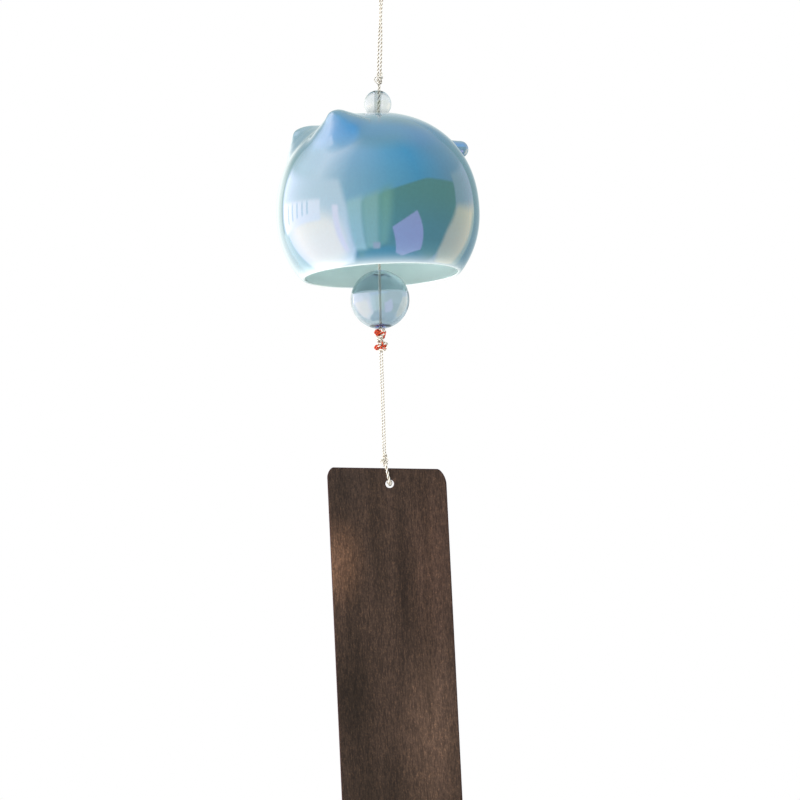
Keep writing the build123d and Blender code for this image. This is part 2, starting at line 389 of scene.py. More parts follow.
def glass_material(name, colour, rim_shade, tint, density, ior):
    """Tinted glass, with painted shade at its rims, standing in for the darker look that refraction and
    thick glass give there; lamp light passes straight through to what is inside it.
    """
    material, tree, shader, output = new_material(name)
    ripple = tree.noise(tree.coordinates("Object"), 160.0, 1.0)
    tree.fill(
        shader, Base_Color=tree.mixed(tree.attribute("glass_rim_shade"), colour, rim_shade),
        Normal=tree.bump(ripple, 0.15, 0.0004), Transmission_Weight=1.0, Roughness=0.0, IOR=ior,
    )
    absorb = tree.add("VolumeAbsorption")
    tree.fill(absorb, Color=tint, Density=density)
    shadow = tree.add("LightPath").outputs["Is Shadow Ray"]
    clear = tree.add("BsdfTransparent").outputs["BSDF"]
    surface = tree.mixed_shaders(shadow, shader.outputs["BSDF"], clear)
    tree.fill(output, Surface=surface, Volume=absorb.outputs["Volume"])
    return material


def glaze_material():
    """Pearl lustre glaze over pale ceramic: blue on the crown, greener at the belly, pale at the lip;
    the bluer crown and greener belly are partly the glaze's own tone and partly painted reflection of a
    bright room above and darker walls round it.
    """
    material, tree, shader, _ = new_material("pearl_glaze")
    position = tree.coordinates("Object")
    inside = tree.attribute("glaze_inside")
    drift = tree.maths("MULTIPLY_ADD", tree.noise(position, 26.0, 2.0), 0.16, -0.08)
    level = tree.maths("ADD", tree.attribute("glaze_height"), drift, clamp=True)
    # Partly painted reflection: bluer where the glaze would mirror the bright room above, greener at the
    # belly where it would mirror darker walls.
    outer = tree.ramp(level, [
        (0.00, (0.060, 0.20, 0.27)),
        (0.12, (0.032, 0.15, 0.22)),
        (0.45, (0.040, 0.16, 0.17)),
        (0.66, (0.040, 0.18, 0.23)),
        (0.82, (0.045, 0.19, 0.33)),
        (1.00, (0.120, 0.27, 0.36)),
    ])
    outer = tree.mixed(0.06, outer, tree.noise(position, 900.0, 2.0), "OVERLAY")
    walls = tree.mixed(inside, outer, (0.80, 0.94, 0.92))
    wave = tree.noise(position, 60.0, 1.0)
    tree.fill(
        shader, Base_Color=tree.mixed(tree.attribute("glaze_lip"), walls, (0.80, 0.86, 0.83)),
        Normal=tree.bump(wave, 0.12, 0.0006), IOR=2.0,
        Roughness=tree.maths("MULTIPLY_ADD", inside, 0.30, 0.05),
        Coat_Weight=1.0, Coat_Roughness=0.02, Coat_IOR=1.5,
    )
    return material


# Broad places on the slat, each by its middle (across, up), its half sizes, and what multiplies its
# colour
wood_patches = [
    (-0.0145, -0.2095, 0.0110, 0.0190, (2.90, 2.52, 2.22)),
    (-0.0120, -0.1810, 0.0130, 0.0160, (0.82, 0.86, 0.90)),
    (0.0170, -0.2080, 0.0120, 0.0420, (1.45, 1.35, 1.35)),
    (0.0072, -0.2150, 0.0035, 0.0450, (0.66, 0.66, 0.66)),
    (0.0170, -0.2680, 0.0140, 0.0420, (1.95, 1.90, 1.85)),
    (-0.0100, -0.2540, 0.0150, 0.0320, (0.48, 0.50, 0.48)),
    (-0.0010, -0.2900, 0.0240, 0.0300, (0.60, 0.62, 0.60)),
]


def wood_material():
    """Dark stained wood with fine upright grain, broad lighter and darker places, and red edges."""
    material, tree, shader, _ = new_material("slat_wood")
    position = tree.coordinates("Object")
    upright = tree.mapped(position, Rotation=(0, radians(slat_lean), 0))

    def grain(scale, squash, detail):
        return tree.noise(tree.mapped(upright, Scale=(1.0, 1.0, squash)), scale, detail, 0.6)

    def multiplied(colour, by):
        return tree.mixed(1.0, colour, by, "MULTIPLY")

    bands = grain(110.0, 0.10, 3.0)
    fibres = grain(2300.0, 0.16, 2.0)
    specks = grain(2600.0, 0.55, 2.0)
    colour = tree.ramp(bands, [
        (0.30, (0.036, 0.023, 0.016)),
        (0.50, (0.049, 0.031, 0.022)),
        (0.72, (0.062, 0.039, 0.028)),
    ])
    for x, z, half_width, half_height, tone in wood_patches:
        patch = tree.mapped(
            position, Location=(-x / half_width, 0, -z / half_height),
            Scale=(1 / half_width, 0, 1 / half_height),
        )
        near = tree.smooth_step(tree.length(patch), 1.0, 0.0)
        colour = tree.mixed(near, colour, multiplied(colour, tone))
    streaks = tree.ramp(fibres, [(0.34, (0.74, 0.74, 0.75)), (0.66, (1.28, 1.26, 1.24))])
    dots = tree.ramp(specks, [
        (0.36, (0.80, 0.80, 0.82)), (0.56, (1.03, 1.02, 1.01)), (0.72, (1.75, 1.62, 1.45)),
    ])
    colour = multiplied(multiplied(colour, streaks), dots)
    facing = tree.maths("ABSOLUTE", tree.parts(tree.coordinates("Normal"))["Y"])
    edge = tree.ramp(facing, [(0.80, (1, 1, 1)), (0.97, (0, 0, 0))])
    height = tree.maths("ADD", fibres, specks)
    tree.fill(
        shader, Base_Color=tree.mixed(edge, colour, (0.034, 0.008, 0.011)),
        Normal=tree.bump(height, 0.3, 0.0001), Roughness=0.6, Specular_IOR_Level=0.1,
    )
    return material


# Each thread's own colour, then the painted shade in the grooves between its plies.
cord_finish = cord_material("cord_thread", (0.92, 0.88, 0.78), (0.28, 0.22, 0.15))
red_finish = cord_material("red_thread", (0.74, 0.085, 0.025), (0.16, 0.006, 0.010))
# The second colour of each glass is the painted shade at its rims.
bead_finish = glass_material(
    "bead_glass", (0.87, 0.89, 0.88), (0.62, 0.66, 0.66), (0.70, 0.78, 0.76), 60.0, 1.46
)
ball_finish = glass_material(
    "ball_glass", (0.64, 0.73, 0.77), (0.03, 0.07, 0.48), (0.40, 0.58, 0.70), 130.0, 1.75
)


# Cords

def spline_points(route):
    """Points along the smooth spline whose control points are the route's."""
    data = bpy.data.curves.new("route", "CURVE")
    data.dimensions = "3D"
    data.resolution_u = spline_steps
    spline = data.splines.new("NURBS")
    spline.points.add(len(route) - 1)
    for point, place in zip(spline.points, route):
        point.co = (*place, 1.0)
    spline.order_u = 3
    spline.use_endpoint_u = True
    curve = new_object("route", data)
    bpy.context.view_layer.update()
    mesh = bpy.data.meshes.new_from_object(curve)
    points = np.array([vertex.co[:] for vertex in mesh.vertices])
    bpy.data.objects.remove(curve)
    bpy.data.meshes.remove(mesh)
    return points


def resampled(points, step, closed=False):
    """The same line with points a step apart, and its length."""
    if closed:
        points = np.vstack([points, points[:1]])
    runs = np.linalg.norm(np.diff(points, axis=0), axis=1)
    along = np.concatenate([[0], np.cumsum(runs)])
    count = max(2, int(round(along[-1] / step)))
    places = np.linspace(0, along[-1], count + 1)
    if closed:
        places = places[:-1]
    return np.stack([np.interp(places, along, points[:, axis]) for axis in range(3)], 1), along[-1]


def side_directions(points, closed=False):
    """For each point, two directions square to the line, carried along it without twist."""
    if closed:
        tangents = np.roll(points, -1, 0) - np.roll(points, 1, 0)
    else:
        tangents = np.gradient(points, axis=0)
    tangents = unit(tangents)
    side = unit(np.cross(tangents[0], off_line_direction))
    firsts = []
    for tangent in tangents:
        side = unit(side - tangent * (side @ tangent))
        firsts.append(side)
    firsts = np.array(firsts)
    return firsts, np.cross(tangents, firsts)


def tube_mesh(name, plies, closed=False):
    """One tube round each ply, with UVs, and how far out each point is from the cord's middle.
    It also gives each face's finish, which is 1 on every third tube and 0 on the others."""
    points, faces, uvs, reaches, finishes = [], [], [], [], []
    for index, (line, radius, middle, half_width) in enumerate(plies):
        finish = 1 if index % 3 == 1 else 0
        first, second = side_directions(line, closed)
        count = len(line)
        base = len(points)
        for row in range(count):
            for angle in circle(ply_sides):
                outward = cos(angle) * first[row] + sin(angle) * second[row]
                points.append(line[row] + radius * outward)
                reaches.append(np.linalg.norm(points[-1] - middle[row]) / half_width)
        for row in range(count if closed else count - 1):
            for side in range(ply_sides):
                corners = ((row, side), (row, side + 1), (row + 1, side + 1), (row + 1, side))
                faces.append([base + a % count * ply_sides + b % ply_sides for a, b in corners])
                uvs += [(b / ply_sides, a * uv_row_length) for a, b in corners]
                finishes.append(finish)
        if not closed:
            for row, order in ((0, -1), (count - 1, 1)):
                cap = [base + row * ply_sides + side for side in range(ply_sides)]
                faces.append(cap[::order])
                uvs += [(0.5, row * uv_row_length)] * ply_sides
                finishes.append(finish)
    mesh = mesh_from(name, points, faces)
    layer = mesh.uv_layers.new(name="UVMap")
    layer.data.foreach_set("uv", np.array(uvs, np.float32).ravel())
    write_attribute(mesh, "ply_reach", reaches)
    return mesh, finishes


def twisted_plies(points, diameter, count=2, closed=False, start=0.0):
    """A cord's plies about a line, each as its line and radius and the cord's middle and radius."""
    line, length = resampled(points, diameter * ply_point_share, closed)
    first, second = side_directions(line, closed)
    radius = diameter * ply_radius_shares[count]
    reach = diameter / 2 - radius
    turns = length / (diameter * ply_turn_share)
    if closed:
        turns = round(turns)
    angles = np.linspace(0, 2 * pi * turns, len(line), endpoint=not closed) + start
    plies = []
    for share in circle(count):
        angle = (angles + share)[:, None]
        offset = reach * (np.cos(angle) * first + np.sin(angle) * second)
        plies.append((line + offset, radius, line, diameter / 2))
    return plies


def twisted_cord(name, body, node, route, diameter, count=2, start=0.0):
    """A cord along a smooth route, which stands for a CAD node; gives it and the line it follows."""
    path = spline_points(route)
    mesh, _ = tube_mesh(name, twisted_plies(path, diameter, count, start=start))
    return new_piece(name, mesh, body, "cord", node, cord_finish), path


def declared_cord(name, body, node, route, diameter, length, **lay):
    """A cord that hangs free, held straight by what is below it; the length is not used."""
    cord, path = twisted_cord(name, body, node, route, diameter, **lay)


def route_down(pivot, axis, node):
    """Points down the leaning line through a pivot, from the top of a CAD node to its bottom."""
    low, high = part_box(node)
    first = (pivot.z - high.z) / axis.z
    last = (pivot.z - low.z) / axis.z
    return [pivot - axis * drop for drop in (first, (first + last) / 2, last)]


def make_hanging_loop():
    """The cord from its knot up round the eye and back; its strands cross below the eye."""
    half = [
        (-loop_strand_spacing / 2, 0, -(loop_drop - loop_knot_height / 2 - seat_gap)),
        (-loop_wide_spacing / 2, 0, -loop_wide_drop),
        (0, loop_crossing_depth, -loop_crossing_drop),
        (-loop_throat_spacing / 2, loop_crossing_depth, -eye_throat_drop),
        (-eye_half_width, 0, -eye_widest_drop),
        (-eye_top_half_width, 0, eye_top_rise),
    ]
    other_half = [(-x, -y, z) for x, y, z in reversed(half)]
    route = [leaned(loop_lean) @ Vector(point) for point in half + other_half]
    declared_cord("hanging_cord", "hanger", "hanging_loop", route, loop_cord_diameter, loop_length)


def make_clapper_cord():
    """The twisted cord that the glass ball is threaded on."""
    route = route_down(hang_pivot, hang_axis, "clapper_line")
    declared_cord(
        "clapper_cord", "clapper", "clapper_line", route, clapper_cord_diameter, clapper_length,
        count=3,
    )


def make_slat_strands():
    """Two strands from the lower red-tied knot down to the slat's knot."""
    across = line_axis.cross(Vector((0, 1, 0))).normalized()
    for name, side in (("slat_strand_left", -1), ("slat_strand_right", 1)):
        offset = across * (side * slat_strand_spacing / 2)
        middle_route = route_down(place_of("line_swing"), line_axis, "slat_line")
        route = [point + offset for point in middle_route]
        declared_cord(
            name, "line", "slat_line", route, slat_strand_diameter, slat_line_length, start=side
        )


make_hanging_loop()
make_clapper_cord()
make_slat_strands()


# Bell

def smooth_union(first, second, blend):
    near = np.maximum(blend - np.abs(first - second), 0) / blend
    return np.minimum(first, second) - near ** 2 * blend / 4


def smooth_overlap(first, second, blend):
    return -smooth_union(-first, -second, blend)


def heading(bearing, rise=0.0):
    """A direction by its bearing in degrees, from +X towards +Y."""
    return np.array([cos(radians(bearing)), sin(radians(bearing)), rise])


def bell_reach(directions, radius=belly_radius, crown=crown_height, skirt=skirt_height):
    """How far the plain body reaches from the belly's centre along each direction."""
    across = np.hypot(directions[..., 0], directions[..., 1])
    up = directions[..., 2]
    height = np.where(up > 0, crown, skirt)
    fullness = np.where(up > 0, crown_fullness, skirt_fullness)
    share = (across / radius) ** fullness + (np.abs(up) / height) ** fullness
    return share ** (-1 / fullness)


def round_cone(points, low, high, low_radius, high_radius):
    """Distance from a cone with a ball at each end."""
    axis = high - low
    length_sq = axis @ axis
    taper = low_radius - high_radius
    slant_sq = length_sq - taper ** 2
    offset = points - low
    along = offset @ axis
    past = along - length_sq
    across_sq = np.sum((offset * length_sq - along[..., None] * axis) ** 2, -1)
    along_sq = along ** 2 * length_sq
    past_sq = past ** 2 * length_sq
    limit = np.sign(taper) * taper ** 2 * across_sq
    side = (np.sqrt(across_sq * slant_sq / length_sq) + along * taper) / length_sq - low_radius
    top = np.sqrt(across_sq + past_sq) / length_sq - high_radius
    bottom = np.sqrt(across_sq + along_sq) / length_sq - low_radius
    result = np.where(np.sign(along) * slant_sq * along_sq < limit, bottom, side)
    return np.where(np.sign(past) * slant_sq * past_sq > limit, top, result)


def ear_distance(points, side, tip_drop):
    """An ear: a leaning round cone with a ridge to the crown, and a flat front towards the face."""
    outward = heading(face_bearing + side * ear_spread)
    root, ridge, tip = [
        outward * reach + np.array([0, 0, crown_height - drop])
        for reach, drop in (
            (ear_root_reach, ear_root_drop), (ear_ridge_reach, ear_ridge_drop),
            (ear_tip_reach, tip_drop),
        )
    ]
    cone = round_cone(points, root, tip, ear_root_radius, ear_tip_radius)
    inner = round_cone(points, ridge, tip, ear_ridge_radius, ear_tip_radius)
    cone = smooth_union(cone, inner, ear_ridge_blend)
    front = unit(heading(face_bearing, ear_front_slope))
    flat = (points - tip) @ front - ear_front_offset
    return smooth_overlap(cone, flat, ear_front_blend)


def outer_distance(points):
    """How far points are outside the body and its ears, or inside where it is negative."""
    size = np.linalg.norm(points, axis=-1)
    result = size - bell_reach(points / size[..., None])
    for side, tip_drop in ear_tip_drops.items():
        result = smooth_union(result, ear_distance(points, side, tip_drop), ear_blend)
    return result


def bell_directions(rows, last_polar):
    """Directions from the crown's hole to the mouth; the rings round the hole share its centre."""
    top = crown_height - crown_dish_depth
    start = atan2(crown_hole_radius + crown_hole_rounding, top)
    polar = np.linspace(start, last_polar, rows)[:, None]
    bearing = np.linspace(0, 2 * pi, meridians, endpoint=False)[None, :]
    fade = np.clip(1 - polar / radians(crown_hole_centred_to), 0, 1)
    fade = fade * fade * (3 - 2 * fade)
    shift = crown_hole_offset / top * fade
    directions = np.stack([
        np.sin(polar) * np.cos(bearing) + shift * np.cos(polar),
        np.sin(polar) * np.sin(bearing) + 0 * polar,
        np.cos(polar) + 0 * bearing,
    ], -1)
    return unit(directions)


def body_radius(height, full_height, fullness):
    """The plain body's radius at a height above or below the belly's centre."""
    return belly_radius * (1 - (height / full_height) ** fullness) ** (1 / fullness)


mouth_radius = body_radius(mouth_drop, skirt_height, skirt_fullness)


def cavity_skirt_height():
    """The inner face's skirt height, which thins the wall from the belly to the lip."""
    share = (mouth_radius - lip_wall) / (belly_radius - wall)
    return mouth_drop / (1 - share ** skirt_fullness) ** (1 / skirt_fullness)


def traced(directions):
    """Where each direction leaves the bell's outer form."""
    near = bell_reach(directions) * search_from_share
    far = np.full_like(near, search_to)
    for _ in range(search_steps):
        middle = (near + far) / 2
        inside = outer_distance(directions * middle[..., None]) < 0
        near = np.where(inside, middle, near)
        far = np.where(inside, far, middle)
    return directions * near[..., None]


def dished(points):
    """Sinks the shallow dish round the crown's hole."""
    radius = np.hypot(points[..., 0] - crown_hole_offset, points[..., 1]) / crown_dish_radius
    sink = crown_dish_depth * np.clip(1 - radius ** 2, 0, 1) ** crown_dish_power
    points = points.copy()
    points[..., 2] -= np.where(points[..., 2] > 0, sink, 0)
    return points


def ring_band(above, before_above, below, before_below, rows):
    """Rows that carry one ring smoothly round to another, as a rounded edge does."""
    bulge = np.linalg.norm(above - below, axis=-1, keepdims=True) * edge_roundness
    above_end = above + unit(above - before_above) * bulge
    below_end = below + unit(below - before_below) * bulge
    t = (np.arange(1, rows) / rows)[:, None, None]
    start = (1 - t) ** 3 * above + 3 * (1 - t) ** 2 * t * above_end
    return start + 3 * (1 - t) * t ** 2 * below_end + t ** 3 * below


def grid_faces(rows, columns, base=0, wrap_rows=True):
    """Quads between closed rings, and from the last ring back to the first."""
    faces = []
    for row in range(rows if wrap_rows else rows - 1):
        below = (row + 1) % rows
        for column in range(columns):
            beside = (column + 1) % columns
            faces.append((
                base + row * columns + column, base + below * columns + column,
                base + below * columns + beside, base + row * columns + beside,
            ))
    return faces


def tail_rings():
    """A short round stub that flares into the body where it leaves it."""
    outward = heading(face_bearing - 180)
    upward = np.array([0.0, 0.0, 1.0])
    across = np.cross(upward, outward)
    height = crown_height - tail_drop
    root = body_radius(height, crown_height, crown_fullness)
    start = root - tail_sunk
    stations = [(tail_root_reach, tail_radius)]
    for step in range(tail_rows):
        reach = start + (tail_reach - start) * step / tail_rows
        flare = tail_flare * exp(-max(reach - root, 0) / tail_flare_length)
        stations.append((reach, tail_radius + flare))
    for step in range(tail_rows + 1):
        angle = pi / 2 * step / tail_rows
        stations.append((tail_reach + tail_radius * sin(angle), tail_radius * cos(angle)))
    rings = []
    for reach, radius in stations:
        for angle in circle(tail_sides):
            side = across * (radius * cos(angle)) + upward * (height + radius * sin(angle))
            rings.append(outward * reach + side)
    return np.array(rings)


def make_bell():
    """The ceramic bell: outer face with ears, rounded lip, plain inner face and a tail."""
    lip_start_drop = mouth_drop - lip_wall * lip_start_share
    outer_polar = atan2(mouth_radius, -lip_start_drop)
    inner_polar = atan2(mouth_radius - lip_wall, -lip_start_drop)
    outer = dished(traced(bell_directions(outer_rows, outer_polar)))
    inner = bell_directions(inner_rows, inner_polar)
    reach = bell_reach(inner, belly_radius - wall, crown_height - wall, cavity_skirt_height())
    inner = inner * reach[..., None]
    lip_band = ring_band(outer[-1], outer[-2], inner[-1], inner[-2], lip_rows)
    hole_band = ring_band(inner[0], inner[1], outer[0], outer[1], crown_hole_rows)
    rings = [*outer, *lip_band, *inner[::-1], *hole_band]
    inner_start = outer_rows + len(lip_band)
    inner_end = inner_start + inner_rows
    row_of = np.repeat(np.arange(len(rings)), meridians)
    inside = (row_of >= inner_start) & (row_of < inner_end)
    lip_middle = (outer_rows + inner_start) / 2
    lip = np.exp(-((row_of - lip_middle) / lip_paleness_rows) ** 2)
    lip[row_of >= inner_end] = 0
    shell = np.vstack(rings)
    tail = tail_rings()
    faces = grid_faces(len(rings), meridians)
    faces += grid_faces(len(tail) // tail_sides, tail_sides, len(shell), wrap_rows=False)
    points = np.vstack([shell, tail])
    height = np.clip((points[:, 2] + mouth_drop) / (crown_height + mouth_drop), 0, 1)
    turn = np.array(
        Matrix.Translation(place_of("bell_turn")) @ leaned(bell_lean).to_4x4()
        @ Matrix.Translation((-crown_hole_offset, 0, -(crown_height - crown_dish_depth)))
    )
    mesh = mesh_from("bell_shell", points @ turn[:3, :3].T + turn[:3, 3], faces)
    write_attribute(mesh, "glaze_height", height)
    write_attribute(mesh, "glaze_inside", np.concatenate([inside, np.zeros(len(tail))]))
    write_attribute(mesh, "glaze_lip", np.concatenate([lip, np.full(len(tail), tail_paleness)]))
    new_piece("bell_shell", mesh, "bell", "glaze", "bell", glaze_material())


make_bell()


# Glass

def turned_mesh(name, profile, place, axis, rims):
    """A closed outline of (radius, height) turned round an axis; rims is a share of painted rim shade
    for each point.
    """
    points = []
    for radius, height in profile:
        for angle in circle(glass_sides):
            points.append(Vector((radius * cos(angle), radius * sin(angle), height)))
    turn = Vector((0, 0, 1)).rotation_difference(axis).to_matrix()
    points = [place + turn @ point for point in points]
    mesh = mesh_from(name, points, grid_faces(len(profile), glass_sides))
    write_attribute(mesh, "glass_rim_shade", np.repeat(rims, glass_sides))
    return mesh


def arc(centre, radius, start, end, steps):
    """Points on an arc, by angles in degrees from +radius towards +height."""
    points = []
    for step in range(steps + 1):
        angle = radians(start + (end - start) * step / steps)
        points.append((centre[0] + radius * cos(angle), centre[1] + radius * sin(angle)))
    return points


def angle_at(across, radius):
    """The height angle, in degrees, at which a ball is that far across."""
    return degrees(acos(across / radius))


def make_bead(name, node):
    """A round glass bead with a softened edge at each end of its bore."""
    edge = bead_edge_radius
    top = angle_at(bead_flat_radius, bead_radius)
    flat = bead_radius * sin(radians(top))
    upper = [(bead_bore_radius + edge * 2, flat + edge * 0.2)]
    upper += arc((bead_bore_radius + edge, flat - edge), edge, 100, 180, 5)
    lower = [(radius, -height) for radius, height in reversed(upper)]
    profile = arc((0, 0), bead_radius, -top, top, 48) + upper + lower
    profile = profile[::-1]
    rims = [1.0 if radius < bead_bore_radius + 2 * edge else 0.0 for radius, _ in profile]
    mesh = turned_mesh(name, profile, centre_of(node), stem_axis, rims)
    new_piece(name, mesh, "stem", "bead_glass", node, bead_finish)


def ball_centre():
    """The ball's centre: its box is as wide as the ball, and it is cut flat below."""
    middle = centre_of("clapper_ball").x
    return hang_pivot - hang_axis * ((middle - hang_pivot.x) / -hang_axis.x)


def make_ball():
    """The blown ball: an even wall, fire-polished at its top hole and thickened to a lip below."""
    inner = ball_radius - ball_wall
    top_across = ball_top_hole_radius + ball_wall / 2
    top_out = angle_at(top_across, ball_radius)
    low_out = -angle_at(ball_lip_radius, ball_radius)
    top_in = angle_at(top_across, inner)
    low_in = -angle_at(ball_lip_radius + ball_lip_inset, inner)
    low_height = ball_radius * sin(radians(low_out))
    profile = arc((0, 0), ball_radius, low_out, top_out, 72)
    top_height = (profile[-1][1] + inner * sin(radians(top_in))) / 2
    profile += arc((top_across, top_height), ball_wall / 2, 75, 270, 10)[1:-1]
    profile += arc((0, 0), inner, top_in, low_in, 72)
    lip_half = (ball_lip_radius - ball_lip_hole_radius) / 2
    lip = (ball_lip_hole_radius + lip_half, low_height + lip_half + ball_lip_rise)
    profile += arc(lip, lip_half, 60, 250, 14)
    profile = profile[::-1]
    rims = [min(1.0, max(0.0, (ball_rim_radius - radius) / ball_wall)) for radius, _ in profile]
    mesh = turned_mesh("clapper_glass", profile, ball_centre(), hang_axis, rims)
    new_piece("clapper_glass", mesh, "clapper", "ball_glass", "clapper_ball", ball_finish)


make_bead("bead_upper", "top_bead")
make_bead("bead_lower", "inner_bead")
make_ball()


# Knots. Each is a few turns of cord that lie across one another. A turn has its middle, as across,
# towards the viewer and up from the knot's middle, and its radius, all in millimetres, and then the
# bearing and tilt of its axis in degrees, where a bearing of 0 is +X and 90 away from the viewer.

upper_knot_turns = [
    (0.1, 0.1, 1.2, 0.75, 20, 28),
    (0.3, 0.1, 0.4, 0.88, 160, 38),
    (0.0, 0.1, -0.4, 0.85, 30, 30),
    (0.0, 0.0, -1.2, 0.74, 290, 24),
]
upper_knot_bight = [(-0.7, 0.4, -0.1, 0.95, 80, 80)]
inner_knot_turns = [
    (0.0, 0.0, 0.7, 1.15, 40, 30),
    (0.0, 0.0, -0.5, 1.2, 200, 40),
    (0.2, 0.2, 0.0, 1.1, 100, 75),
]
ball_knot_turns = [
    (0.1, 0.2, 0.6, 1.25, 35, 48),
    (1.0, 0.2, 0.3, 1.0, 15, 76),
    (0.2, 0.3, -0.6, 1.25, 215, 42),
    (-0.3, -0.6, 0.2, 1.15, 120, 70),
    (-0.1, 0.1, -1.3, 0.95, 300, 22),
]
ball_tie_turns = [
    (-1.3, 0.7, 0.2, 0.68, 70, 66),
    (-1.0, 0.5, 0.9, 0.55, 30, 40),
    (-0.8, 1.0, 0.0, 0.45, 110, 60),
]
ball_mix_turns = [
    (1.3, 0.5, 0.9, 0.66, 15, 72),
    (0.9, 1.0, -0.2, 0.66, 60, 60),
    (0.5, 0.9, 0.8, 0.6, 120, 50),
    (0.3, -1.0, 0.2, 0.95, 250, 50),
    (1.1, 0.4, -1.1, 0.55, 200, 66),
]
line_knot_turns = [
    (-0.1, 0.5, 1.3, 1.0, 70, 42),
    (1.2, 0.5, 0.0, 0.98, 75, 74),
    (1.0, -0.3, -0.7, 0.95, 20, 60),
    (-0.4, 0.4, 0.4, 1.1, 200, 55),
    (0.1, -0.4, -1.0, 1.25, 230, 30),
]
line_tie_turns = [
    (-1.4, 0.7, -0.8, 0.62, 80, 72),
    (-1.0, 1.0, -0.5, 0.48, 100, 84),
]
line_mix_turns = [
    (-0.6, 1.0, 0.2, 0.6, 140, 58),
    (0.7, 1.0, -0.8, 0.66, 110, 62),
    (0.5, 1.0, 0.5, 0.66, 15, 50),
    (1.4, 0.5, -0.5, 0.6, 60, 76),
    (-0.4, -0.9, -0.2, 0.95, 255, 50),
]
slat_knot_turns = [
    (0.1, 0.1, 1.7, 0.68, 30, 36),
    (-0.3, 0.3, 0.9, 0.95, 190, 55),
    (0.1, 0.1, 0.0, 0.95, 60, 42),
    (-0.3, 0.3, -0.7, 0.9, 300, 50),
    (0.3, 0.0, -1.5, 0.66, 250, 25),
]
# Turns of the slat's loop inside its hole, from the hole's middle
slat_hole_turns = [
    (0.0, 0.2, 0.1, 0.86, 20, 66),
    (0.1, 0.3, -0.1, 0.84, 140, 74),
    (-0.1, 0.4, 0.1, 0.62, 80, 84),
]
# Loose ends of thread that leave a knot, each by its places from the knot's middle, as above
slat_knot_ends = [
    [(-0.3, 0.6, 0.2), (-1.4, 1.0, 0.4), (-1.6, 1.0, -1.0)],
    [(-0.3, 0.6, -0.4), (-1.0, 1.0, -0.8), (-1.5, 0.9, -1.9)],
]
upper_knot_ends = [
    [(0.4, 0.6, 0.8), (1.3, 0.9, 1.2), (1.0, 0.9, 2.4)],
]


def from_middle(centre, across, toward, up):
    return np.array(centre) + np.array([across, -toward, up]) * millimetre


def knot_turn(centre, turn):
    """The closed line of one turn, a little uneven so that it looks drawn by hand."""
    *middle, radius, bearing, tilt = turn
    points = []
    for angle in circle(knot_turn_points):
        uneven = 1 + 0.10 * cos(2 * angle + bearing) + 0.06 * cos(3 * angle)
        reach = radius * millimetre * uneven
        points.append((reach * cos(angle), reach * sin(angle), 0.0))
    lay = Matrix.Rotation(radians(bearing), 3, "Z") @ Matrix.Rotation(radians(tilt), 3, "Y")
    return np.array(points) @ np.array(lay).T + from_middle(centre, *middle)


def make_turns(name, body, node, centre, turns, diameter, *materials, slot="cord"):
    """The turns of one cord in a knot, as one piece; every third ply is of the second material."""
    plies = []
    for turn in turns:
        plies += twisted_plies(knot_turn(centre, turn), diameter, closed=True)
    mesh, finishes = tube_mesh(name, plies, closed=True)
    new_piece(name, mesh, body, slot, node, *materials)
    if len(materials) > 1:
        mesh.polygons.foreach_set("material_index", finishes)


def make_core(name, body, knot, axis, diameter):
    """The cord that runs on through a knot."""
    low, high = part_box(knot)
    half = axis * ((high.z - low.z) / 2 + seat_gap / 2)
    centre = centre_of(knot)
    twisted_cord(name, body, knot, [centre + half, centre, centre - half], diameter, count=3)


def make_ends(name, body, knot, ends):
    """Loose thread ends, as one piece."""
    radius = loose_end_diameter / 2
    plies = []
    for end in ends:
        route = [from_middle(centre_of(knot), *place) for place in end]
        line, _ = resampled(spline_points(route), loose_end_diameter)
        plies.append((line, radius, line, radius))
    mesh, _ = tube_mesh(name, plies)
    new_piece(name, mesh, body, "cord", knot, cord_finish)


def make_knots():
    """The five knots, each by its CAD node, its piece's name, its body, the axis and diameter of the
    cord through it, and its turns and their diameter."""
    for node, name, body, axis, core, turns, diameter in (
        ("loop_knot", "upper_knot", "knot", stem_axis, 0.0013, upper_knot_turns, 0.00085),
        ("inner_knot", "inner_knot", "clapper_hitch", hang_axis, 0.0016, inner_knot_turns, 0.001),
        ("ball_knot", "ball_knot", "clapper", hang_axis, 0.0017, ball_knot_turns, 0.0008),
        ("line_knot", "line_knot", "line_hitch", line_axis, 0.0016, line_knot_turns, 0.00078),
        ("slat_knot", "slat_knot", "slat_hitch", line_axis, 0.0012, slat_knot_turns, 0.00078),
    ):
        make_turns(name + "_turns", body, node, centre_of(node), turns, diameter, cord_finish)
        make_core(name + "_core", body, node, axis, core)
    make_turns(
        "upper_knot_bight", "knot", "loop_knot", centre_of("loop_knot"), upper_knot_bight,
        bight_diameter, cord_finish,
    )
    make_turns(
        "slat_hole_thread", "slat_hitch", "slat_loop", place_of("slat_rock"), slat_hole_turns,
        hole_thread_diameter, cord_finish,
    )


def make_ties():
    """The red thread round two knots, and the turns where it is laid with the cord's pale thread."""
    red = (red_thread_diameter, red_finish)
    mixed = (mixed_thread_diameter, red_finish, cord_finish)
    for node, body, knot, part, turns, finish in (
        ("ball_tie", "clapper", "ball_knot", "_thread", ball_tie_turns, red),
        ("ball_tie", "clapper", "ball_knot", "_mix", ball_mix_turns, mixed),
        ("line_tie", "line_hitch", "line_knot", "_thread", line_tie_turns, red),
        ("line_tie", "line_hitch", "line_knot", "_mix", line_mix_turns, mixed),
    ):
        make_turns(node + part, body, node, centre_of(knot), turns, *finish, slot="red_thread")


def make_stem():
    """The doubled cord through both beads and the crown."""
    top = Vector((centre_of("loop_knot").x, 0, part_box("stem_cord")[1].z))
    route = route_down(top, stem_axis, "stem_cord")
    twisted_cord("stem_plies", "stem", "stem_cord", route, stem_cord_diameter, count=3)


